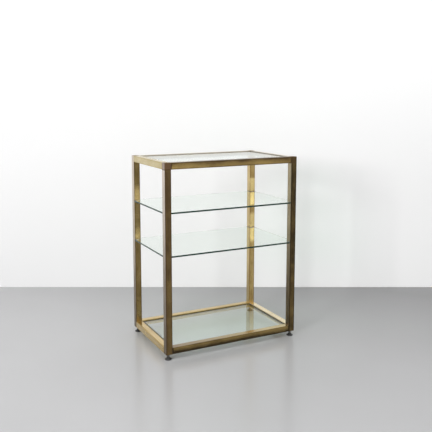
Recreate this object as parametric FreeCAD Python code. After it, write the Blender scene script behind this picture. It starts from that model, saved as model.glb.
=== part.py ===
import FreeCAD, Part
import math
import os

# A square-tube brass etagere: four legs, a top and a bottom frame with an inset glass pane each,
# two notched glass shelves on pins between them, and four screw-in levelling feet.
# Millimetres, +Z up. The origin is on the floor below the centre of the footprint; -Y is the front.

# ---- frame
overall_width = 560.0
overall_depth = 345.0
leg_length = 710.0
tube_side = 25.0
tube_wall = 1.5
tube_corner_radius = 1.2

# ---- fits
plug_clearance = 0.05
pin_clearance = 0.05
thread_clearance = 0.05
swivel_clearance = 0.1

# ---- plugs that close the upper ends of the legs
plug_plate_thickness = 2.0
plug_height = 9.5
plug_skirt_wall = 1.2

# ---- angle strips that carry the inset panes
ledge_width = 10.0
ledge_height = 10.0
ledge_thickness = 1.5

# ---- inset panes
pane_thickness = 6.0
pane_side_gap = 1.0
pane_corner_flat = 1.5
pane_recess = 3.0

# ---- notched shelves; their heights are those of their upper faces above the legs' lower ends
shelf_thickness = 6.0
shelf_setback = 1.0
notch_clearance = 1.0
notch_corner_radius = 3.0
shelf_corner_flat = 1.5
upper_shelf_height = 530.0
lower_shelf_height = 370.0
glass_arris = 0.5

# ---- pins under the shelves
pin_diameter = 5.0
pin_reach = 7.0
pin_tail = 2.5
shelf_seat_gap = 0.2

# ---- levelling feet
stem_diameter = 10.0
stem_exposed = 12.5
insert_height = 14.0
socket_floor = 2.4
pad_diameter = 26.0
pad_rim_height = 3.0
hub_diameter = 14.0
pad_height = 8.5

# ---- how close two points or planes lie that count as the same
coincidence = 1e-6

# ---- derived levels and planes
half_width = overall_width / 2
half_depth = overall_depth / 2
inner_width = overall_width - 2 * tube_side
inner_depth = overall_depth - 2 * tube_side
leg_bottom = pad_height + stem_exposed
leg_top = leg_bottom + leg_length
bore_side = tube_side - 2 * tube_wall
plug_side = bore_side - 2 * plug_clearance
upper_shelf_top = leg_bottom + upper_shelf_height
lower_shelf_top = leg_bottom + lower_shelf_height
bottom_rail_top = leg_bottom + tube_side

X = FreeCAD.Vector(1, 0, 0)
Y = FreeCAD.Vector(0, 1, 0)
Z = FreeCAD.Vector(0, 0, 1)
CORNERS = {
    "front_left": (-1, -1),
    "front_right": (1, -1),
    "rear_left": (-1, 1),
    "rear_right": (1, 1),
}


def save(name, solids):
    """Write one sub-part, or a group of like ones, to its own STEP file."""
    shape = solids[0] if len(solids) == 1 else Part.makeCompound(solids)
    shape.exportStep(os.path.join("parts", name + ".step"))


def block(size_x, size_y, low_z, high_z, centre_x=0.0, centre_y=0.0):
    """An upright block given by its plan size, its plan centre and its two levels."""
    corner = FreeCAD.Vector(centre_x - size_x / 2, centre_y - size_y / 2, low_z)
    return Part.makeBox(size_x, size_y, high_z - low_z, corner)


def edges_along(shape, direction):
    """The straight edges of a shape that run along one axis."""
    straight = [edge for edge in shape.Edges if isinstance(edge.Curve, Part.Line)]
    return [e for e in straight if e.tangentAt(e.FirstParameter).cross(direction).Length < coincidence]


def rounded_block(size_x, size_y, low_z, high_z, radius):
    """An upright block, centred on the Z axis, with its upright edges rounded."""
    body = block(size_x, size_y, low_z, high_z)
    return body.makeFillet(radius, edges_along(body, Z))


def level_edges(shape, level):
    """The edges of a shape that lie wholly in one horizontal plane."""
    found = []
    for edge in shape.Edges:
        if max(abs(edge.BoundBox.ZMin - level), abs(edge.BoundBox.ZMax - level)) < coincidence:
            found.append(edge)
    return found


def polygon_prism(points, direction):
    """A solid swept straight along a direction from a closed outline."""
    outline = Part.makePolygon([FreeCAD.Vector(*p) for p in points + points[:1]])
    return Part.Face(outline).extrude(direction)


def turned(points):
    """A solid turned about the Z axis from a closed half profile of (radius, height) points."""
    outline = Part.makePolygon([FreeCAD.Vector(radius, 0, height) for radius, height in points + points[:1]])
    return Part.Face(outline).revolve(FreeCAD.Vector(0, 0, 0), Z, 360)


def square_tube(length):
    """A length of the brass tube, standing on the origin."""
    outside = rounded_block(tube_side, tube_side, 0, length, tube_corner_radius)
    return outside.cut(block(bore_side, bore_side, 0, length))


def leg_centre(corner):
    """The plan position of a leg's axis."""
    side_x, side_y = CORNERS[corner]
    return side_x * (half_width - tube_side / 2), side_y * (half_depth - tube_side / 2)


def shelf_pin_height(shelf_top):
    """The level of the axis of the pins below a shelf."""
    return shelf_top - shelf_thickness - shelf_seat_gap - pin_diameter / 2


def leg(corner):
    """A full-height upright, drilled in its inward face for the two shelf pins."""
    centre_x, centre_y = leg_centre(corner)
    side_y = CORNERS[corner][1]
    tube = square_tube(leg_length)
    tube.translate(FreeCAD.Vector(centre_x, centre_y, leg_bottom))
    for shelf_top in (upper_shelf_top, lower_shelf_top):
        start = FreeCAD.Vector(centre_x, centre_y, shelf_pin_height(shelf_top))
        hole_radius = pin_diameter / 2 + pin_clearance
        tube = tube.cut(Part.makeCylinder(hole_radius, tube_side, start, Y * -side_y))
    return tube


def leg_plug(corner):
    """A plate with a hollow skirt, pressed into the tube and ground flush with its end."""
    centre_x, centre_y = leg_centre(corner)
    plate_bottom = leg_top - plug_plate_thickness
    body = block(plug_side, plug_side, leg_top - plug_height, leg_top, centre_x, centre_y)
    hollow_side = plug_side - 2 * plug_skirt_wall
    return body.cut(block(hollow_side, hollow_side, leg_top - plug_height, plate_bottom, centre_x, centre_y))


def foot_insert(corner):
    """A tapped block pressed into the lower end of the leg."""
    centre_x, centre_y = leg_centre(corner)
    body = block(plug_side, plug_side, leg_bottom, leg_bottom + insert_height, centre_x, centre_y)
    bore_radius = stem_diameter / 2 + thread_clearance
    return body.cut(Part.makeCylinder(bore_radius, insert_height, FreeCAD.Vector(centre_x, centre_y, leg_bottom)))


def foot_stem(corner):
    """A screw that runs through the insert and stands in the glide's socket."""
    centre_x, centre_y = leg_centre(corner)
    stem_bottom = socket_floor + swivel_clearance
    stem_top = leg_bottom + insert_height
    start = FreeCAD.Vector(centre_x, centre_y, stem_bottom)
    return Part.makeCylinder(stem_diameter / 2, stem_top - stem_bottom, start)


def foot_pad(corner):
    """A round glide: a shallow cone on a flat rim, with a blind socket for the screw's end."""
    centre_x, centre_y = leg_centre(corner)
    pad_radius = pad_diameter / 2
    socket_radius = stem_diameter / 2 + swivel_clearance
    pad = turned([
        (0, 0),
        (pad_radius, 0),
        (pad_radius, pad_rim_height),
        (hub_diameter / 2, pad_height),
        (socket_radius, pad_height),
        (socket_radius, socket_floor),
        (0, socket_floor),
    ])
    pad.translate(FreeCAD.Vector(centre_x, centre_y, 0))
    return pad


def rail(side, low_z):
    """One rail of a frame, butted between two legs."""
    along_x = side in ("front", "rear")
    length = inner_width if along_x else inner_depth
    tube = square_tube(length)
    tube.rotate(FreeCAD.Vector(0, 0, 0), Y if along_x else X, 90 if along_x else -90)
    centre_z = low_z + tube_side / 2
    if along_x:
        centre_y = half_depth - tube_side / 2
        tube.translate(FreeCAD.Vector(-length / 2, centre_y if side == "rear" else -centre_y, centre_z))
    else:
        centre_x = half_width - tube_side / 2
        tube.translate(FreeCAD.Vector(centre_x if side == "right" else -centre_x, -length / 2, centre_z))
    return tube


def ledge(side, seat_level):
    """An angle strip on a rail's inward face; its level flange carries the pane."""
    flange_bottom = seat_level - ledge_thickness
    foot_level = seat_level - ledge_height
    along_x = side in ("front", "rear")
    length = inner_width if along_x else inner_depth - 2 * ledge_width
    wall = (inner_depth if along_x else inner_width) / 2
    sign = 1 if side in ("rear", "right") else -1
    section = [
        (wall, seat_level),
        (wall, foot_level),
        (wall - ledge_thickness, foot_level),
        (wall - ledge_thickness, flange_bottom),
        (wall - ledge_width, flange_bottom),
        (wall - ledge_width, seat_level),
    ]
    if along_x:
        return polygon_prism([(-length / 2, sign * offset, level) for offset, level in section], X * length)
    return polygon_prism([(sign * offset, -length / 2, level) for offset, level in section], Y * length)


def glass_with_arrises(slab, top_level, thickness):
    """A glass slab with the sharp edges of its two faces ground off."""
    rims = level_edges(slab, top_level) + level_edges(slab, top_level - thickness)
    return slab.makeChamfer(glass_arris, rims)


def inset_pane(top_level):
    """A plain rectangular pane that drops in between the rails onto the ledges."""
    size_x = inner_width - 2 * pane_side_gap
    size_y = inner_depth - 2 * pane_side_gap
    slab = block(size_x, size_y, top_level - pane_thickness, top_level)
    slab = slab.makeChamfer(pane_corner_flat, edges_along(slab, Z))
    return glass_with_arrises(slab, top_level, pane_thickness)


def notched_shelf(top_level):
    """A shelf as large as the frame, with its corners cut out square around the legs."""
    reach_x = half_width - shelf_setback
    reach_y = half_depth - shelf_setback
    notch_x = inner_width / 2 - notch_clearance
    notch_y = inner_depth / 2 - notch_clearance
    low = top_level - shelf_thickness
    outline = [
        (-notch_x, -reach_y, low),
        (notch_x, -reach_y, low),
        (notch_x, -notch_y, low),
        (reach_x, -notch_y, low),
        (reach_x, notch_y, low),
        (notch_x, notch_y, low),
        (notch_x, reach_y, low),
        (-notch_x, reach_y, low),
        (-notch_x, notch_y, low),
        (-reach_x, notch_y, low),
        (-reach_x, -notch_y, low),
        (-notch_x, -notch_y, low),
    ]
    slab = polygon_prism(outline, Z * shelf_thickness)
    inward, outward = [], []
    for edge in edges_along(slab, Z):
        point = edge.Vertexes[0].Point
        at_notch = math.hypot(abs(point.x) - notch_x, abs(point.y) - notch_y) < coincidence
        (inward if at_notch else outward).append((point.x, point.y))
    slab = slab.makeFillet(notch_corner_radius, upright_edges_at(slab, inward))
    slab = slab.makeChamfer(shelf_corner_flat, upright_edges_at(slab, outward))
    return glass_with_arrises(slab, top_level, shelf_thickness)


def upright_edges_at(shape, places):
    """The upright edges of a shape that stand at the given plan points."""
    found = []
    for edge in edges_along(shape, Z):
        point = edge.Vertexes[0].Point
        if any(math.hypot(point.x - x, point.y - y) < coincidence for x, y in places):
            found.append(edge)
    return found


def shelf_pin(corner, shelf_top):
    """A dowel through a leg's wall that stands out towards the leg behind or before it."""
    centre_x, centre_y = leg_centre(corner)
    side_y = CORNERS[corner][1]
    inner_end = centre_y - side_y * (tube_side / 2 - tube_wall - pin_tail)
    start = FreeCAD.Vector(centre_x, inner_end, shelf_pin_height(shelf_top))
    return Part.makeCylinder(pin_diameter / 2, pin_tail + tube_wall + pin_reach, start, Y * -side_y)


def main():
    os.makedirs("parts", exist_ok=True)
    for corner in CORNERS:
        save("leg_" + corner, [leg(corner)])
        save("leg_plug_" + corner, [leg_plug(corner)])
        save("foot_insert_" + corner, [foot_insert(corner)])
        save("foot_stem_" + corner, [foot_stem(corner)])
        save("foot_pad_" + corner, [foot_pad(corner)])
    top_pane_level = leg_top - pane_recess
    bottom_pane_level = bottom_rail_top - pane_recess
    for side in ("front", "rear", "left", "right"):
        save("top_rail_" + side, [rail(side, leg_top - tube_side)])
        save("bottom_rail_" + side, [rail(side, leg_bottom)])
        save("top_ledge_" + side, [ledge(side, top_pane_level - pane_thickness)])
        save("bottom_ledge_" + side, [ledge(side, bottom_pane_level - pane_thickness)])
    save("top_pane", [inset_pane(top_pane_level)])
    save("bottom_pane", [inset_pane(bottom_pane_level)])
    save("upper_shelf", [notched_shelf(upper_shelf_top)])
    save("lower_shelf", [notched_shelf(lower_shelf_top)])
    save("upper_shelf_pins", [shelf_pin(corner, upper_shelf_top) for corner in CORNERS])
    save("lower_shelf_pins", [shelf_pin(corner, lower_shelf_top) for corner in CORNERS])


main()
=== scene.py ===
import math

import bmesh
import bpy
from mathutils import Matrix, Vector

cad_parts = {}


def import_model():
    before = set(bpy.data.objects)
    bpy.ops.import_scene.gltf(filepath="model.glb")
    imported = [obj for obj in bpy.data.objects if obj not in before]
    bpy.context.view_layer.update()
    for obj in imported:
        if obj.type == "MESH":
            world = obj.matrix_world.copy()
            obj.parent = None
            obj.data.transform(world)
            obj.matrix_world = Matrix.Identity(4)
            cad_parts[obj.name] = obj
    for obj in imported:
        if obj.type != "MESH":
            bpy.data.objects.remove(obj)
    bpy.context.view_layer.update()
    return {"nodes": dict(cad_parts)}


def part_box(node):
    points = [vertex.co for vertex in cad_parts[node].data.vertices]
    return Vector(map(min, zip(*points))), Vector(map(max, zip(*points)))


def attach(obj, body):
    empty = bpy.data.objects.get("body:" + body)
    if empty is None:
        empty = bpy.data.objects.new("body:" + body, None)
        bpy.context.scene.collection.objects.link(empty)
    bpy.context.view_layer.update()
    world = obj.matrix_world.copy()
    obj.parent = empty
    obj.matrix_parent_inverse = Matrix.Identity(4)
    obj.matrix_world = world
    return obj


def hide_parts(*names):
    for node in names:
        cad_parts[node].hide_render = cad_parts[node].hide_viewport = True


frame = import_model()

# Lengths are in metres, angles in degrees, and colours linear.
CORNERS = ("front_left", "front_right", "rear_left", "rear_right")

# ---- camera: its yaw is to the right of +Y and its pitch downwards
CAMERA_PLACE = Vector((-1.1214, -2.2135, 0.9580))
CAMERA_YAW = 26.819
CAMERA_PITCH = 7.366
CAMERA_LENS = 52.325
CAMERA_SENSOR = 36.0
CAMERA_SHIFT_X = 0.0075
CAMERA_SHIFT_Y = -0.085
CAMERA_NEAR = 0.01
CAMERA_FAR = 100.0

# ---- wall: it glows a little, from LOW to HIGH between two heights, which rise towards the right by TILT for
# each metre, and by SIDE less at its left and more at its right
WALL_BEHIND = 0.633
WALL_WIDTH = 26.0
WALL_HEIGHT = 3.6
WALL_COLOUR = (0.80, 0.80, 0.80)
WALL_GLOW_LOW = 0.215
WALL_GLOW_HIGH = 0.285
WALL_GLOW_HEIGHTS = (0.3, 0.9)
WALL_GLOW_TILT = 0.20
WALL_GLOW_SIDE = 0.038

# ---- floor: its tone in front, then where each change of tone starts and ends, and the tone after it; these
# changes are painted light, lighter in front and darker far off and to the right as the light falls off. Such
# a place is how far beyond the object's middle it lies, seen from the camera, plus SLANT times how far right.
FLOOR_SIZE = 60.0
FLOOR_ROUGHNESS = 0.21
FLOOR_SLANT = 0.5
FLOOR_FRONT = (0.88, 0.88, 0.885)
FLOOR_CHANGES = (
    (-2.40, -1.20, (0.725, 0.725, 0.735)),
    (-0.90, 0.00, (0.600, 0.600, 0.610)),
    (0.00, 1.00, (0.300, 0.300, 0.304)),
)

# ---- light: the world's, as it falls on things and as it is seen, then three lamps
WORLD_LIGHT = 0.35
WORLD_SEEN = 0.95
KEY_LEFT_OF_CAMERA = 36.0
KEY_ELEVATION = 15.0
KEY_DISTANCE = 14.0
KEY_AIM = Vector((0.0, 0.0, 0.35))
KEY_SIZE = (3.25, 3.25)
KEY_RADIANCE = 28.0
TOP_PLACE = Vector((-0.6, -1.0, 3.4))
TOP_AIM = Vector((0.0, 0.0, 0.0))
TOP_SIZE = (3.0, 2.0)
TOP_RADIANCE = 1.5
FILL_RIGHT_OF_CAMERA = 53.6
FILL_ELEVATION = 16.5
FILL_DISTANCE = 4.0
FILL_AIM = Vector((0.0, 0.0, 0.4))
FILL_SIZE = (2.6, 1.1)
FILL_RADIANCE = 0.55

# ---- brass tones: first painted light and shade (the pale wall seen in top faces, the grey shade in a rail's
# recess, the light on a leg's left side), then from polished to tarnished
PAINTED_WALL_SHEEN = (0.72, 0.67, 0.54)
PAINTED_RECESS_SHADE = (0.41, 0.42, 0.43)
PAINTED_SIDE_LIGHT = (0.78, 0.69, 0.60)
BRIGHT = (1.00, 0.79, 0.34)
CREAM = (0.74, 0.57, 0.29)
GOLDEN = (0.62, 0.48, 0.24)
GOLD = (0.54, 0.38, 0.13)
SAND = (0.48, 0.41, 0.26)
BRONZE = (0.29, 0.195, 0.066)
TAN = (0.27, 0.195, 0.115)
RUSSET = (0.18, 0.105, 0.058)
DRAB = (0.15, 0.105, 0.062)
OLIVE = (0.155, 0.102, 0.030)
UMBER = (0.105, 0.064, 0.026)
SOOT = (0.050, 0.033, 0.012)

# ---- levels: where a leg's head begins beside the top rails, and the tops of the shelves
HEAD_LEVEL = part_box("top_rail_front")[0][2]
SHELF_LEVELS = tuple(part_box(shelf)[1][2] for shelf in ("upper_shelf", "lower_shelf"))
UPPER_LEVEL, LOWER_LEVEL = SHELF_LEVELS

# ---- patina: how far in from an arris or a tube's end it starts, and where it is full, how softly a band of
# it starts and how far above a shelf a lighter band of painted light starts, and how far from its middle a
# thin dark line (a joint, and at a shelf's level painted contact shadow) starts to fade and is gone
PATINA_REACH = 0.0050
ARRIS_FULL = 0.0010
END_FULL = 0.0008
BAND_START = 0.004
SHELF_GAP = 0.0025
LINE_FADES = 0.0014
LINE_GONE = 0.0026

# ---- levelling screws
THREAD_PITCH = 0.0015
THREAD_DEPTH = 0.0007
THREAD_START = 0.0093
THREAD_STEEPNESS = 2.4
RINGS_PER_TURN = 8
STEM_CHAMFER = 0.0004
STEM_STEPS = 40

# ---- glides: the rim's side as heights and how far inside the rim each is, and the collar's upper edge as
# depths below its top and how far inside the collar each is
RIM_SIDE = ((0.0, 0.0012), (0.0003, 0.0005), (0.0010, 0.0), (0.0022, 0.0))
FLARE_START = 0.0030
FLARE_INSET = 0.0006
FLARE_RINGS = 8
FLARE_HOLLOW = 2.2
COLLAR_RADIUS = 0.0070
COLLAR_EDGE = ((0.0002, 0.0002), (0.0, 0.0006))
SOCKET_RADIUS = 0.0051
SOCKET_FLOOR = 0.0024
GLIDE_STEPS = 64

# ---- shelf pins
PIN_LENGTH = 0.011
PIN_DOME = 0.0010
DOME_RINGS = 6
PIN_STEPS = 32


# ---------------------------------------------------------------- node helpers
def new_material(name):
    """A material with an empty node tree, and its output node."""
    material = bpy.data.materials.new(name)
    material.use_nodes = True
    material.node_tree.nodes.clear()
    output = material.node_tree.nodes.new("ShaderNodeOutputMaterial")
    return material, material.node_tree, output


def add(tree, kind, inputs=None, **settings):
    """A node with its settings made and its inputs either set or linked."""
    made = tree.nodes.new(kind)
    for name, value in settings.items():
        setattr(made, name, value)
    for key, value in (inputs or {}).items():
        if isinstance(value, bpy.types.NodeSocket):
            tree.links.new(value, made.inputs[key])
        else:
            made.inputs[key].default_value = value
    return made


def math_node(tree, operation, first, second=0.0, clamp=False):
    """The output of a math node."""
    return add(tree, "ShaderNodeMath", {0: first, 1: second}, operation=operation, use_clamp=clamp).outputs[0]


def total(tree, *terms):
    """The sum of several values, kept between 0 and 1."""
    result = terms[0]
    for term in terms[1:]:
        result = math_node(tree, "ADD", result, term)
    return math_node(tree, "ADD", result, 0.0, True)


def map_range(tree, value, low, high, to_low, to_high):
    """The output of a clamped change of range."""
    inputs = {"Value": value, "From Min": low, "From Max": high, "To Min": to_low, "To Max": to_high}
    return add(tree, "ShaderNodeMapRange", inputs).outputs["Result"]


def mix_colour(tree, factor, first, second):
    """The output of a colour mix."""
    made = add(tree, "ShaderNodeMix", {"Factor": factor}, data_type="RGBA")
    for socket, value in ((made.inputs[6], first), (made.inputs[7], second)):
        if isinstance(value, bpy.types.NodeSocket):
            tree.links.new(value, socket)
        else:
            socket.default_value = (*value, 1.0)
    return made.outputs[2]


def noise(tree, vector, scale, detail, roughness):
    """The grey output of a noise texture."""
    inputs = {"Vector": vector, "Scale": scale, "Detail": detail, "Roughness": roughness}
    return add(tree, "ShaderNodeTexNoise", inputs).outputs["Fac"]


def axes(tree, vector):
    """The three parts of a vector, as outputs named X, Y and Z."""
    return add(tree, "ShaderNodeSeparateXYZ", {0: vector}).outputs


def object_place(tree):
    """The place of a point in the part's own frame."""
    return add(tree, "ShaderNodeTexCoord").outputs["Object"]


def stretched(tree, vector, scale):
    """A place scaled by a different factor along each axis."""
    return add(tree, "ShaderNodeMapping", {"Vector": vector, "Scale": scale}).outputs["Vector"]


def along_tube(grain, across, along):
    """The factors that scale a place by one number along a tube and by another across it."""
    return [along if axis == grain else across for axis in range(3)]


def seen_ray(tree):
    """One for rays from the camera and for rays that metal or glass sends on, else zero."""
    path = add(tree, "ShaderNodeLightPath")
    seen = math_node(tree, "MAXIMUM", path.outputs["Is Camera Ray"], path.outputs["Is Glossy Ray"])
    return math_node(tree, "MAXIMUM", seen, path.outputs["Is Transmission Ray"])


def on_face(tree, normal, side, elsewhere=0.0, there=1.0):
    """One value on the face that looks towards a side, such as X or -X, and another elsewhere."""
    cosine = math_node(tree, "MULTIPLY", normal[side[-1]], -1.0 if side.startswith("-") else 1.0)
    return map_range(tree, cosine, 0.6, 0.8, elsewhere, there)


def thin_line(tree, station, level):
    """The share of a line about 4 mm wide at one level along a tube."""
    distance = math_node(tree, "ABSOLUTE", math_node(tree, "SUBTRACT", station, level))
    return map_range(tree, distance, LINE_FADES, LINE_GONE, 0.85, 0.0)


# ---------------------------------------------------------------- materials
def tube_brass(
    node, clean, dull, patina, painted_shade_by_height=0.0, patina_and_light_bands=(), faces=None, head=None, contact_shadow_levels=(), smooth_top=1.0
):
    """Drawn brass tube under a thin worn lacquer.

    Patina lies in clouds and long streaks, and gathers on the arrises and where one tube meets another. A top
    shade is painted shade: it adds to the patina towards the top of a rail and takes from it towards the
    bottom.
    Each band gives two places along the tube, the patina that it adds between them and how softly it ends, on
    a leg only on its front face; a band that adds patina darkens that stretch, and one that takes patina away
    is painted light, such as the light that a glass shelf throws up onto a leg above it. A face that looks
    along an axis may have tones of its own, one for each end of the tube: these are painted light and shade,
    such as the pale wall seen in a top face, the shade in a rail's recess and the light on a leg's left side.
    The head is the tone of a leg beside the top rails, with a thin dark line below it. At each contact shadow
    level a thin dark line of painted contact shadow lies on the leg's inner faces, where a shelf meets it. A
    smooth top scales the roughness of the face that looks up.
    """
    material, tree, output = new_material(node + "_brass")
    low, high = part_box(node)
    middle = (Vector(low) + Vector(high)) / 2
    half = (Vector(high) - Vector(low)) / 2
    grain = max(range(3), key=lambda axis: half[axis])
    upright = grain == 2
    place = object_place(tree)
    station = axes(tree, place)[grain]
    normal = axes(tree, add(tree, "ShaderNodeNewGeometry").outputs["Normal"])
    centred = add(tree, "ShaderNodeVectorMath", {0: place, 1: middle}, operation="SUBTRACT").outputs["Vector"]
    local = axes(tree, centred)
    reach = [math_node(tree, "ABSOLUTE", local[axis]) for axis in range(3)]
    first, second = (axis for axis in range(3) if axis != grain)
    inset = math_node(tree, "MINIMUM", reach[first], reach[second])
    half_width = half[first]

    drifting = stretched(tree, place, along_tube(grain, 30.0, 14.0))
    drawn = stretched(tree, place, along_tube(grain, 900.0, 5.0))
    brushed = stretched(tree, place, along_tube(grain, 1600.0, 14.0))
    clouds = noise(tree, drifting, scale=1.0, detail=4.0, roughness=0.55)
    streaks = noise(tree, drawn, scale=1.0, detail=2.0, roughness=0.5)
    brushing = noise(tree, brushed, scale=1.0, detail=2.0, roughness=0.6)
    terms = [
        map_range(tree, clouds, 0.34, 0.66, -0.20, 0.20),
        map_range(tree, streaks, 0.3, 0.7, -0.13, 0.13),
        map_range(tree, inset, half_width - PATINA_REACH, half_width - ARRIS_FULL, 0.0, 0.60),
        patina,
    ]
    if not upright:
        half_length = half[grain]
        end_low, end_high = half_length - PATINA_REACH, half_length - END_FULL
        terms.append(map_range(tree, reach[grain], end_low, end_high, 0.0, 0.9))
    # Painted shade by height: darker towards the top of a rail, and towards its bottom where the value is
    # negative.
    if painted_shade_by_height:
        terms.append(map_range(tree, local["Z"], -0.006, 0.008, -painted_shade_by_height, painted_shade_by_height))
    # Bands that take patina away paint light; bands that add it darken a stretch of the tube.
    for band_low, band_high, extra, fade in patina_and_light_bands:
        rise = map_range(tree, station, band_low - BAND_START, band_low + BAND_START, 0.0, extra)
        fall = map_range(tree, station, band_high - fade, band_high + fade, 0.0, -extra)
        band = math_node(tree, "ADD", rise, fall)
        terms.append(math_node(tree, "MULTIPLY", band, on_face(tree, normal, "-Y")) if upright else band)
    tarnish = total(tree, *terms)

    colour = mix_colour(tree, tarnish, clean, dull)
    worn = map_range(tree, tarnish, 0.0, 1.0, 1.0, 0.7)
    share_along = map_range(tree, station, low[grain], high[grain], 0.0, 1.0)
    # Painted light and shade by face: each face tone stands for how lit that face looks, kept less where the
    # patina is heavy.
    for side, (first_tone, last_tone) in (faces or {}).items():
        tone = mix_colour(tree, share_along, first_tone, last_tone)
        share = math_node(tree, "MULTIPLY", on_face(tree, normal, side), worn)
        colour = mix_colour(tree, share, colour, tone)
    if head:
        above = map_range(tree, station, HEAD_LEVEL, HEAD_LEVEL + 0.001, 0.0, 0.75)
        colour = mix_colour(tree, above, colour, head)
        colour = mix_colour(tree, thin_line(tree, station, HEAD_LEVEL), colour, UMBER)
    # Painted contact shadow: a thin dark line on the leg's inner faces at each shelf's top, where the shelf
    # meets the leg.
    if contact_shadow_levels:
        inner_sides = ("-X" if middle.x > 0 else "X", "-Y" if middle.y > 0 else "Y")
        inside = math_node(tree, "MAXIMUM", *(on_face(tree, normal, side) for side in inner_sides))
    for level in contact_shadow_levels:
        share = math_node(tree, "MULTIPLY", thin_line(tree, station, level), inside)
        colour = mix_colour(tree, share, colour, UMBER)
    flecks = noise(tree, place, scale=520.0, detail=2.0, roughness=0.7)
    colour = mix_colour(tree, map_range(tree, flecks, 0.66, 0.76, 0.0, 0.28), colour, GOLD)
    pits = noise(tree, place, scale=300.0, detail=3.0, roughness=0.7)
    colour = mix_colour(tree, map_range(tree, pits, 0.70, 0.78, 0.0, 0.6), colour, UMBER)
    rough = map_range(tree, tarnish, 0.0, 1.0, 0.17, 0.36)
    if smooth_top < 1.0:
        rough = math_node(tree, "MULTIPLY", rough, on_face(tree, normal, "Z", 1.0, smooth_top))
    bump = add(tree, "ShaderNodeBump", {"Strength": 0.12, "Distance": 0.0001, "Height": brushing})
    shader = add(tree, "ShaderNodeBsdfPrincipled", {
        "Base Color": colour,
        "Metallic": 1.0,
        "Roughness": rough,
        "Normal": bump.outputs["Normal"],
        "Coat Weight": 0.22,
        "Coat Roughness": 0.14,
    })
    tree.links.new(shader.outputs[0], output.inputs["Surface"])
    return material


def small_brass(name, clean, dull, roughness):
    """Brass of a small part, with patina in clouds and specks."""
    material, tree, output = new_material(name)
    place = object_place(tree)
    clouds = noise(tree, place, scale=45.0, detail=5.0, roughness=0.6)
    clouds = map_range(tree, clouds, 0.32, 0.68, 0.0, 1.0)
    specks = noise(tree, place, scale=600.0, detail=2.0, roughness=0.7)
    specks = map_range(tree, specks, 0.55, 0.80, 0.0, 0.4)
    tarnish = total(tree, clouds, specks)
    bump = add(tree, "ShaderNodeBump", {"Strength": 0.15, "Distance": 0.0001, "Height": specks})
    shader = add(tree, "ShaderNodeBsdfPrincipled", {
        "Base Color": mix_colour(tree, tarnish, clean, dull),
        "Metallic": 1.0,
        "Roughness": map_range(tree, tarnish, 0.0, 1.0, *roughness),
        "Normal": bump.outputs["Normal"],
    })
    tree.links.new(shader.outputs[0], output.inputs["Surface"])
    return material


def glass(name, body_colour, density):
    """Clear float glass with a green body and a little dust; its edges have a painted shade, an opaque dark
    green seen from outside in place of the deep green of the glass's length.
    """
    material, tree, output = new_material(name)
    place = object_place(tree)
    dust = noise(tree, place, scale=9.0, detail=4.0, roughness=0.6)
    clear = add(tree, "ShaderNodeBsdfPrincipled", {
        "Base Color": (1.0, 1.0, 1.0, 1.0),
        "Roughness": map_range(tree, dust, 0.45, 0.75, 0.0, 0.008),
        "IOR": 1.5,
        "Transmission Weight": 1.0,
    })
    # The edges: ground, with a painted shade of opaque dark green in place of the deep green seen through the
    # glass's length.
    scratched = stretched(tree, place, (60.0, 60.0, 900.0))
    grinding = noise(tree, scratched, scale=1.0, detail=3.0, roughness=0.6)
    ground_edge_shade = add(tree, "ShaderNodeBsdfPrincipled", {
        "Base Color": mix_colour(tree, grinding, (0.006, 0.045, 0.028), (0.016, 0.075, 0.050)),
        "Roughness": map_range(tree, grinding, 0.3, 0.7, 0.12, 0.28),
        "Specular IOR Level": 0.25,
    })
    shape = add(tree, "ShaderNodeNewGeometry")
    upright = math_node(tree, "ABSOLUTE", axes(tree, shape.outputs["Normal"])["Z"])
    outside = math_node(tree, "SUBTRACT", 1.0, shape.outputs["Backfacing"])
    edge = math_node(tree, "MULTIPLY", map_range(tree, upright, 0.5, 0.8, 0.85, 0.0), outside)
    solid = add(tree, "ShaderNodeMixShader", {0: edge, 1: clear.outputs[0], 2: ground_edge_shade.outputs[0]})
    shade = add(tree, "ShaderNodeBsdfTransparent", {"Color": (0.90, 0.95, 0.92, 1.0)})
    shadow_ray = add(tree, "ShaderNodeLightPath").outputs["Is Shadow Ray"]
    mixed = add(tree, "ShaderNodeMixShader", {0: shadow_ray, 1: solid.outputs[0], 2: shade.outputs[0]})
    tree.links.new(mixed.outputs[0], output.inputs["Surface"])
    body = add(tree, "ShaderNodeVolumeAbsorption", {"Color": (*body_colour, 1.0), "Density": density})
    tree.links.new(body.outputs[0], output.inputs["Volume"])
    return material


def steel():
    """Zinc-plated steel gone dull."""
    material, tree, output = new_material("dull_zinc")
    clouds = noise(tree, object_place(tree), scale=120.0, detail=4.0, roughness=0.6)
    shader = add(tree, "ShaderNodeBsdfPrincipled", {
        "Base Color": mix_colour(tree, clouds, (0.30, 0.29, 0.27), (0.11, 0.10, 0.09)),
        "Metallic": 1.0,
        "Roughness": map_range(tree, clouds, 0.3, 0.7, 0.30, 0.50),
    })
    tree.links.new(shader.outputs[0], output.inputs["Surface"])
    return material


def black_plastic():
    """Moulded black plastic with a fine grain and some dust."""
    material, tree, output = new_material("moulded_black")
    place = object_place(tree)
    grain = noise(tree, place, scale=2500.0, detail=2.0, roughness=0.5)
    dust = noise(tree, place, scale=60.0, detail=3.0, roughness=0.6)
    dust = map_range(tree, dust, 0.4, 0.8, 0.0, 1.0)
    bump = add(tree, "ShaderNodeBump", {"Strength": 0.2, "Distance": 0.0001, "Height": grain})
    shader = add(tree, "ShaderNodeBsdfPrincipled", {
        "Base Color": mix_colour(tree, dust, (0.030, 0.030, 0.030), (0.075, 0.072, 0.066)),
        "Roughness": map_range(tree, dust, 0.0, 1.0, 0.42, 0.62),
        "Normal": bump.outputs["Normal"],
    })
    tree.links.new(shader.outputs[0], output.inputs["Surface"])
    return material


def painted_light_above_shelf(level, height, extra, fade):
    """A band of painted light on a leg, from just above a shelf's level up to a height above it, where a
    glass shelf throws light onto the leg.
    """
    return (level + SHELF_GAP, level + height, extra, fade)
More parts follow.
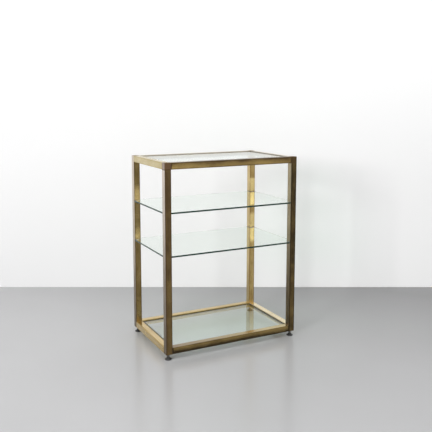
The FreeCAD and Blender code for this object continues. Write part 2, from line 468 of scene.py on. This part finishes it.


# The tubes that have tones of their own, each with its arguments for tube_brass. Their tones are partly
# patina and partly painted light and shade, lighter or darker as each tube is lit.
TUBE_TONES_AND_LIGHT = {
    "leg_front_left": {
        "clean": BRONZE, "dull": UMBER, "patina": 0.65,
        "patina_and_light_bands": ((0.300, 0.700, 0.22, 0.004),),
        # Painted light: the left face, dark below and pale above.
        "faces": {"-X": (DRAB, PAINTED_SIDE_LIGHT)},
        "head": RUSSET,
    },
    "leg_front_right": {
        "clean": BRONZE, "dull": SOOT, "patina": 0.80,
        "patina_and_light_bands": ((0.300, 0.700, 0.06, 0.004), (0.020, 0.300, -0.12, 0.004)),
        # Painted light: the left face, dark below and lighter above.
        "faces": {"-X": (UMBER, SAND)},
        "head": UMBER,
    },
    "leg_rear_left": {
        "clean": (0.44, 0.32, 0.13), "dull": OLIVE, "patina": 0.72,
        # Painted light: lighter near the top and the foot, and above each shelf where the glass throws light
        # onto the leg.
        "patina_and_light_bands": (
            (0.620, 0.740, -0.08, 0.004),
            painted_light_above_shelf(UPPER_LEVEL, 0.037, -1.10, 0.032),
            painted_light_above_shelf(LOWER_LEVEL, 0.037, -0.80, 0.034),
            (0.010, 0.150, -0.20, 0.004),
        ),
        # Painted light: the left face, dark below and pale above.
        "faces": {"-X": (DRAB, PAINTED_SIDE_LIGHT)},
    },
    "leg_rear_right": {
        "clean": BRIGHT, "dull": (0.33, 0.205, 0.062), "patina": 0.75,
        # Painted light above each shelf, where the glass throws light onto the leg.
        "patina_and_light_bands": (
            painted_light_above_shelf(UPPER_LEVEL, 0.059, -0.82, 0.004),
            painted_light_above_shelf(LOWER_LEVEL, 0.062, -0.68, 0.008),
        ),
        # Painted light: a bright left face.
        "faces": {"-X": (GOLDEN, GOLDEN)},
        # Painted contact shadow where each shelf meets the leg.
        "contact_shadow_levels": SHELF_LEVELS,
    },
    "top_rail_front": {
        # Painted shade: darker towards the top.
        "clean": GOLD, "dull": UMBER, "patina": 0.69, "painted_shade_by_height": 0.24,
        # Painted light: lighter all along, most at the left end.
        "patina_and_light_bands": ((-0.260, -0.175, -0.26, 0.010), (-0.175, 0.260, -0.07, 0.010)),
    },
    "top_rail_rear": {
        "clean": CREAM, "dull": GOLD, "patina": 0.45,
        # Painted shade on the inner face of the recess, and a painted sheen of the wall on the top face.
        "faces": {"-Y": (PAINTED_RECESS_SHADE, PAINTED_RECESS_SHADE), "Z": (PAINTED_WALL_SHEEN, PAINTED_WALL_SHEEN)},
        "smooth_top": 0.3,
    },
    "top_rail_left": {"clean": (0.65, 0.55, 0.32), "dull": (0.48, 0.38, 0.15), "patina": 0.40},
    "top_rail_right": {
        "clean": CREAM, "dull": GOLD, "patina": 0.45,
        # Painted shade on the inner face of the recess, and a painted sheen of the wall on the top face.
        "faces": {"-X": (PAINTED_RECESS_SHADE, PAINTED_RECESS_SHADE), "Z": (PAINTED_WALL_SHEEN, PAINTED_WALL_SHEEN)},
        "smooth_top": 0.3,
    },
    "bottom_rail_front": {
        # Painted shade: darker towards the bottom, near black at its lower edge.
        "clean": (0.33, 0.23, 0.082), "dull": SOOT, "patina": 0.56, "painted_shade_by_height": -0.45,
        # Painted highlight near the right end.
        "patina_and_light_bands": ((0.120, 0.240, -0.25, 0.004),),
        # Painted light on the top face, darker at the left end and lighter at the right.
        "faces": {"Z": (TAN, GOLDEN)},
    },
    # Painted sheen: its near-white tone stands for the pale wall seen in its top face.
    "bottom_rail_right": {"clean": (0.97, 0.82, 0.55), "dull": (0.62, 0.50, 0.29), "patina": 0.16},
}
CLEAN_FINISH = {"clean": CREAM, "dull": GOLD, "patina": 0.36}

plug_brass = small_brass("plug_brass", (0.30, 0.21, 0.10), (0.16, 0.11, 0.055), (0.40, 0.60))
pin_brass = small_brass("pin_brass", CREAM, GOLD, (0.18, 0.35))
pane_glass = glass("pane_glass", (0.12, 0.80, 0.30), 7.0)
shelf_glass = glass("shelf_glass", (0.085, 0.554, 0.21), 12.0)
dull_zinc = steel()
moulded_black = black_plastic()


def material_for(node):
    """The finish of a CAD node, by its name."""
    if node.startswith("leg_plug"):
        return plug_brass
    if node.startswith("foot_pad"):
        return moulded_black
    if node.startswith("foot_"):
        return dull_zinc
    if node.endswith("_pane"):
        return pane_glass
    if node.endswith("_shelf"):
        return shelf_glass
    if node.endswith("_pins"):
        return pin_brass
    return tube_brass(node, **TUBE_TONES_AND_LIGHT.get(node, CLEAN_FINISH))


for node, shown in frame["nodes"].items():
    shown.data.materials.clear()
    shown.data.materials.append(material_for(node))


# ---------------------------------------------------------------- turned pieces
def turned(stations, steps):
    """The points and faces of a closed solid about Z.

    Each station is a height and a radius, or a height and a function that gives the radius at an angle.
    """
    points, faces = [], []
    for height, radius in stations:
        for step in range(steps):
            angle = 2 * math.pi * step / steps
            size = radius(angle) if callable(radius) else radius
            points.append(Vector((size * math.cos(angle), size * math.sin(angle), height)))
    for ring in range(len(stations) - 1):
        for step in range(steps):
            after = (step + 1) % steps
            first, second = ring * steps, (ring + 1) * steps
            faces.append((first + step, first + after, second + after, second + step))
    faces.append(tuple(reversed(range(steps))))
    faces.append(tuple(range(len(points) - steps, len(points))))
    return points, faces


def solid_piece(name, parts, body, node, material, sharp):
    """A piece made of one or more closed solids, each placed by a matrix, that stands for a CAD node."""
    points, faces = [], []
    for (part_points, part_faces), place in parts:
        start = len(points)
        points += [place @ point for point in part_points]
        faces += [tuple(start + corner for corner in face) for face in part_faces]
    mesh = bpy.data.meshes.new(name)
    mesh.from_pydata(points, [], faces)
    mesh.materials.append(material)
    mesh.shade_smooth()
    mesh.set_sharp_from_angle(angle=math.radians(sharp))
    piece = bpy.data.objects.new(name, mesh)
    bpy.context.scene.collection.objects.link(piece)
    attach(piece, body)
    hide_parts(node)


def threaded_stem(corner):
    """A levelling screw: a plain end in the glide's socket, and a right-hand thread above it."""
    node = "foot_stem_" + corner
    low, high = (Vector(end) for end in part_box(node))
    centre = (low + high) / 2
    crest = (high.x - low.x) / 2
    root = crest - THREAD_DEPTH
    count = round((high.z - THREAD_START) / THREAD_PITCH * RINGS_PER_TURN)

    def ridge(height):
        """The radius by angle at one height: a rounded ridge that climbs one pitch a turn."""
        def radius(angle):
            phase = (height / THREAD_PITCH - angle / (2 * math.pi)) % 1.0
            return root + THREAD_DEPTH * min(1.0, THREAD_STEEPNESS * (1.0 - abs(2.0 * phase - 1.0)))
        return radius

    stations = [(low.z, root - STEM_CHAMFER), (low.z + STEM_CHAMFER, root), (THREAD_START, root)]
    step = (high.z - THREAD_START) / count
    for index in range(1, count):
        height = THREAD_START + step * index
        stations.append((height, ridge(height)))
    stations.append((high.z, root))
    parts = [(turned(stations, STEM_STEPS), Matrix.Translation((centre.x, centre.y, 0.0)))]
    solid_piece("threaded_stem_" + corner, parts, node, node, dull_zinc, sharp=60.0)


def moulded_glide(corner):
    """A glide: a rounded rim that flares out of a collar, with a socket for the screw."""
    node = "foot_pad_" + corner
    low, high = (Vector(end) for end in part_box(node))
    centre = (low + high) / 2
    rim = (high.x - low.x) / 2
    flare_end = high.z - FLARE_INSET
    spread = rim - FLARE_INSET - COLLAR_RADIUS
    stations = [(height, rim - inset) for height, inset in RIM_SIDE]
    for index in range(FLARE_RINGS + 1):
        share = index / FLARE_RINGS
        height = FLARE_START + (flare_end - FLARE_START) * share
        stations.append((height, COLLAR_RADIUS + spread * (1 - share) ** FLARE_HOLLOW))
    stations += [(high.z - depth, COLLAR_RADIUS - inset) for depth, inset in COLLAR_EDGE]
    stations += [(high.z, SOCKET_RADIUS), (SOCKET_FLOOR, SOCKET_RADIUS)]
    parts = [(turned(stations, GLIDE_STEPS), Matrix.Translation((centre.x, centre.y, 0.0)))]
    solid_piece("moulded_glide_" + corner, parts, node, node, moulded_black, sharp=35.0)


def domed_pins(level):
    """The four pins of a shelf, each with a rounded end inside the frame."""
    node = level + "_pins"
    low, high = (Vector(end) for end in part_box(node))
    radius = (high.z - low.z) / 2
    dome_start = PIN_LENGTH - PIN_DOME
    stations = [(0.0, radius), (dome_start, radius)]
    for index in range(1, DOME_RINGS):
        slope = math.pi / 2 * index / DOME_RINGS
        height = dome_start + PIN_DOME * math.sin(slope)
        stations.append((height, radius - PIN_DOME + PIN_DOME * math.cos(slope)))
    parts = []
    for side_x in (low.x + radius, high.x - radius):
        for start_y, turn in ((low.y, -90), (high.y, 90)):
            start = Matrix.Translation((side_x, start_y, (low.z + high.z) / 2))
            parts.append((turned(stations, PIN_STEPS), start @ Matrix.Rotation(math.radians(turn), 4, "X")))
    solid_piece("domed_" + level + "_pins", parts, "frame", node, pin_brass, sharp=50.0)


for corner in CORNERS:
    threaded_stem(corner)
    moulded_glide(corner)
domed_pins("upper_shelf")
domed_pins("lower_shelf")


# ---------------------------------------------------------------- studio
def towards(yaw):
    """The level direction at this many degrees to the right of +Y."""
    return Vector((math.sin(math.radians(yaw)), math.cos(math.radians(yaw)), 0.0))


def rising(yaw, elevation):
    """The same direction, rising by so many degrees. Its level part is 1 long."""
    return towards(yaw) + Vector((0.0, 0.0, math.tan(math.radians(elevation))))


def stage_plane(name, corners, material):
    """A flat four-cornered piece of the studio."""
    sheet = bmesh.new()
    sheet.faces.new([sheet.verts.new(corner) for corner in corners])
    mesh = bpy.data.meshes.new(name)
    sheet.to_mesh(mesh)
    sheet.free()
    mesh.materials.append(material)
    plane = bpy.data.objects.new(name, mesh)
    bpy.context.scene.collection.objects.link(plane)


def along_axis(tree, place, axis):
    """How far a place lies along a level direction."""
    return add(tree, "ShaderNodeVectorMath", {0: place, 1: axis}, operation="DOT_PRODUCT").outputs["Value"]


def floor():
    """A smooth pale grey floor, with painted light: darker towards the far right."""
    material, tree, output = new_material("studio_floor")
    place = add(tree, "ShaderNodeNewGeometry").outputs["Position"]
    depth = along_axis(tree, place, towards(CAMERA_YAW))
    across = along_axis(tree, place, towards(CAMERA_YAW + 90))
    away = math_node(tree, "ADD", depth, math_node(tree, "MULTIPLY", across, FLOOR_SLANT))
    plain = FLOOR_FRONT
    # Painted light: the tone falls off away from the front.
    for start, end, tone in FLOOR_CHANGES:
        plain = mix_colour(tree, map_range(tree, away, start, end, 0.0, 1.0), plain, tone)
    mottles = noise(tree, place, scale=1.6, detail=3.0, roughness=0.5)
    mottled = map_range(tree, mottles, 0.3, 0.7, 0.98, 1.02)
    scaled = add(tree, "ShaderNodeVectorMath", {0: plain, "Scale": mottled}, operation="SCALE")
    colour = scaled.outputs["Vector"]
    shader = add(tree, "ShaderNodeBsdfPrincipled", {"Base Color": colour, "Roughness": FLOOR_ROUGHNESS})
    tree.links.new(shader.outputs[0], output.inputs["Surface"])
    reach = FLOOR_SIZE / 2
    corners = [(-reach, -reach, 0), (reach, -reach, 0), (reach, reach, 0), (-reach, reach, 0)]
    stage_plane("floor", corners, material)


def wall():
    """A white wall behind the object, lighter towards its top and right, and open to a view from behind."""
    material, tree, output = new_material("studio_wall")
    shape = add(tree, "ShaderNodeNewGeometry")
    height = axes(tree, shape.outputs["Position"])["Z"]
    across = along_axis(tree, shape.outputs["Position"], towards(CAMERA_YAW + 90))
    tilted = math_node(tree, "SUBTRACT", height, math_node(tree, "MULTIPLY", across, WALL_GLOW_TILT))
    upward = map_range(tree, tilted, *WALL_GLOW_HEIGHTS, WALL_GLOW_LOW, WALL_GLOW_HIGH)
    sideways = map_range(tree, across, -1.0, 1.0, -WALL_GLOW_SIDE, WALL_GLOW_SIDE)
    glow = math_node(tree, "MULTIPLY", math_node(tree, "ADD", upward, sideways), seen_ray(tree))
    paint = add(tree, "ShaderNodeBsdfDiffuse", {"Color": (*WALL_COLOUR, 1.0)})
    shine = add(tree, "ShaderNodeEmission", {"Strength": glow})
    front = add(tree, "ShaderNodeAddShader", {0: paint.outputs[0], 1: shine.outputs[0]})
    back = add(tree, "ShaderNodeBsdfTransparent")
    behind = shape.outputs["Backfacing"]
    both = add(tree, "ShaderNodeMixShader", {0: behind, 1: front.outputs[0], 2: back.outputs[0]})
    tree.links.new(both.outputs[0], output.inputs["Surface"])
    middle = towards(CAMERA_YAW) * WALL_BEHIND
    side = towards(CAMERA_YAW + 90) * WALL_WIDTH / 2
    up = Vector((0, 0, WALL_HEIGHT))
    stage_plane("wall", [middle - side, middle + side, middle + side + up, middle - side + up], material)


def world():
    """Soft light all round, in place of which the camera, metal and glass see a white backdrop."""
    scene_world = bpy.data.worlds.new("studio")
    scene_world.use_nodes = True
    bpy.context.scene.world = scene_world
    tree = scene_world.node_tree
    tree.nodes.clear()
    strength = map_range(tree, seen_ray(tree), 0.0, 1.0, WORLD_LIGHT, WORLD_SEEN)
    shine = add(tree, "ShaderNodeBackground", {"Color": (1.0, 1.0, 1.0, 1.0), "Strength": strength})
    output = add(tree, "ShaderNodeOutputWorld")
    tree.links.new(shine.outputs[0], output.inputs["Surface"])


def softbox(name, place, aim, size, radiance, mirrored=True):
    """A rectangular lamp that the camera doesn't see, and that metal, glass and the floor mirror or not."""
    lamp = bpy.data.lights.new(name, "AREA")
    lamp.shape = "RECTANGLE"
    lamp.size, lamp.size_y = size
    lamp.energy = radiance * size[0] * size[1] * math.pi
    holder = bpy.data.objects.new(name, lamp)
    holder.location = place
    holder.rotation_euler = (aim - place).to_track_quat("-Z", "Y").to_euler()
    holder.visible_camera = False
    holder.visible_glossy = mirrored
    bpy.context.scene.collection.objects.link(holder)


def camera():
    """A camera at the photograph's angle, which looks a little down where that one is shifted more."""
    data = bpy.data.cameras.new("camera")
    data.lens = CAMERA_LENS
    data.sensor_width = CAMERA_SENSOR
    data.shift_x = CAMERA_SHIFT_X
    data.shift_y = CAMERA_SHIFT_Y
    data.clip_start = CAMERA_NEAR
    data.clip_end = CAMERA_FAR
    view = bpy.data.objects.new("camera", data)
    pitch = math.radians(CAMERA_PITCH)
    look = towards(CAMERA_YAW) * math.cos(pitch) - Vector((0, 0, 1)) * math.sin(pitch)
    view.rotation_euler = look.to_track_quat("-Z", "Y").to_euler()
    view.location = CAMERA_PLACE
    bpy.context.scene.collection.objects.link(view)
    bpy.context.scene.camera = view


floor()
wall()
world()
key_place = rising(CAMERA_YAW + 180 + KEY_LEFT_OF_CAMERA, KEY_ELEVATION) * KEY_DISTANCE
softbox("key", key_place, KEY_AIM, KEY_SIZE, KEY_RADIANCE, mirrored=False)
softbox("top", TOP_PLACE, TOP_AIM, TOP_SIZE, TOP_RADIANCE)
fill_place = rising(CAMERA_YAW + 180 - FILL_RIGHT_OF_CAMERA, FILL_ELEVATION) * FILL_DISTANCE + FILL_AIM
softbox("fill", fill_place, FILL_AIM, FILL_SIZE, FILL_RADIANCE)
camera()
bpy.context.scene.view_settings.view_transform = "Standard"
